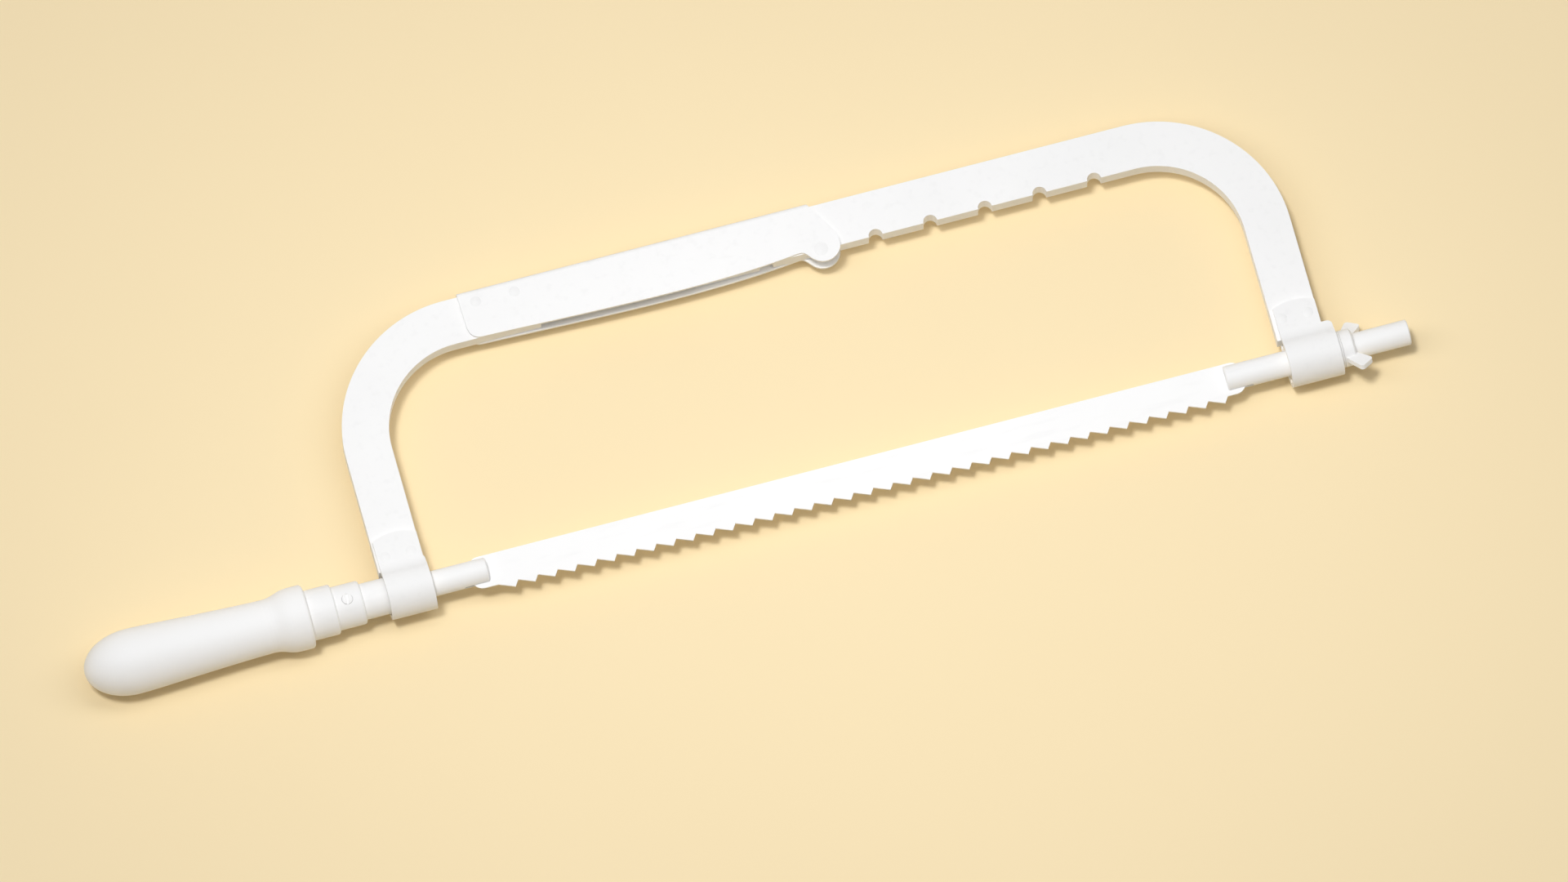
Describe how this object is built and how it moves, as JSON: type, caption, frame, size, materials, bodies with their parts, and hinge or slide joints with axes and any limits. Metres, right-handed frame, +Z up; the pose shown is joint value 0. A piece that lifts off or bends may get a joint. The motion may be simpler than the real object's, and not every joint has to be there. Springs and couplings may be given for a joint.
{
  "type": "adjustable hand saw frame",
  "caption": "Adjustable metal-cutting hand saw: bent flat-bar frame in a channel sleeve, straight turned handle, coarse blade in slotted spindles, wing nut tensioner.",
  "frame": {"origin": "on the surface that the saw lies on, at the centre of its footprint", "axes": "+X along the blade and the spindles from the handle to the wing nut, +Y from the blade to the back of the frame, +Z up, square to the frame's flat side"},
  "size_m": [0.53, 0.1234, 0.0256],
  "materials": {
    "frame_paint": "satin white paint",
    "sleeve_paint": "satin white paint",
    "strap_paint": "satin white paint",
    "rivet": "satin white paint",
    "handle": "matt white paint on turned wood",
    "ferrule": "satin white paint",
    "screw": "satin white paint",
    "spindle": "satin white paint",
    "pin_steel": "ground",
    "blade": "satin white paint",
    "wing_nut": "satin white paint"
  },
  "bodies": {
    "rear_frame": {"rear_bar": "frame_paint", "sleeve": "sleeve_paint", "sleeve_rivets": "rivet", "rear_strap": "strap_paint", "rear_strap_rivets": "rivet", "rear_bush": "spindle"},
    "front_frame": {"front_bar": "frame_paint", "front_strap": "strap_paint", "front_strap_rivets": "rivet"},
    "lock": {"lock_pin": "rivet"},
    "blade_line": {"handle": "handle", "ferrule": "ferrule", "ferrule_collar": "ferrule", "ferrule_screw": "screw", "rear_spindle": "spindle", "rear_blade_pin": "pin_steel", "blade": "blade"},
    "front_swivel": {"front_bush": "spindle", "front_key": "pin_steel", "thrust_washer": "spindle"},
    "front_holder": {"front_spindle": "spindle", "front_blade_pin": "pin_steel"},
    "tension_nut": {"wing_nut": "wing_nut"}
  },
  "joints": [
    {"name": "frame_slide", "type": "slide", "parent": "rear_frame", "child": "front_frame", "axis": [1, 0, 0], "range_m": [0, 0.02192]},
    {"name": "lock_turn", "type": "hinge", "parent": "rear_frame", "child": "lock", "pos_m": [0.0543, 0.04215, 0.0128], "axis": [0, 0, 1], "range_deg": [0, 180]},
    {"name": "blade_swivel", "type": "hinge", "parent": "rear_frame", "child": "blade_line", "pos_m": [-0.135, -0.0489, 0.0128], "axis": [1, 0, 0], "range_deg": [-90, 90]},
    {"name": "holder_swivel", "type": "hinge", "parent": "front_frame", "child": "front_swivel", "pos_m": [0.227, -0.0489, 0.0128], "axis": [1, 0, 0], "range_deg": [-90, 90]},
    {"name": "holder_slide", "type": "slide", "parent": "front_swivel", "child": "front_holder", "axis": [1, 0, 0], "range_m": [-0.00075, 0]},
    {"name": "nut_turn", "type": "hinge", "parent": "front_swivel", "child": "tension_nut", "pos_m": [0.2405, -0.0489, 0.0128], "axis": [1, 0, 0], "range_deg": [-180.5, 0]}
  ],
  "couplings": [
    {"joint": "holder_swivel", "follows": "blade_swivel", "ratio": 1},
    {"joint": "nut_turn", "follows": "holder_slide", "rad_per_m": 4188.8}
  ]
}
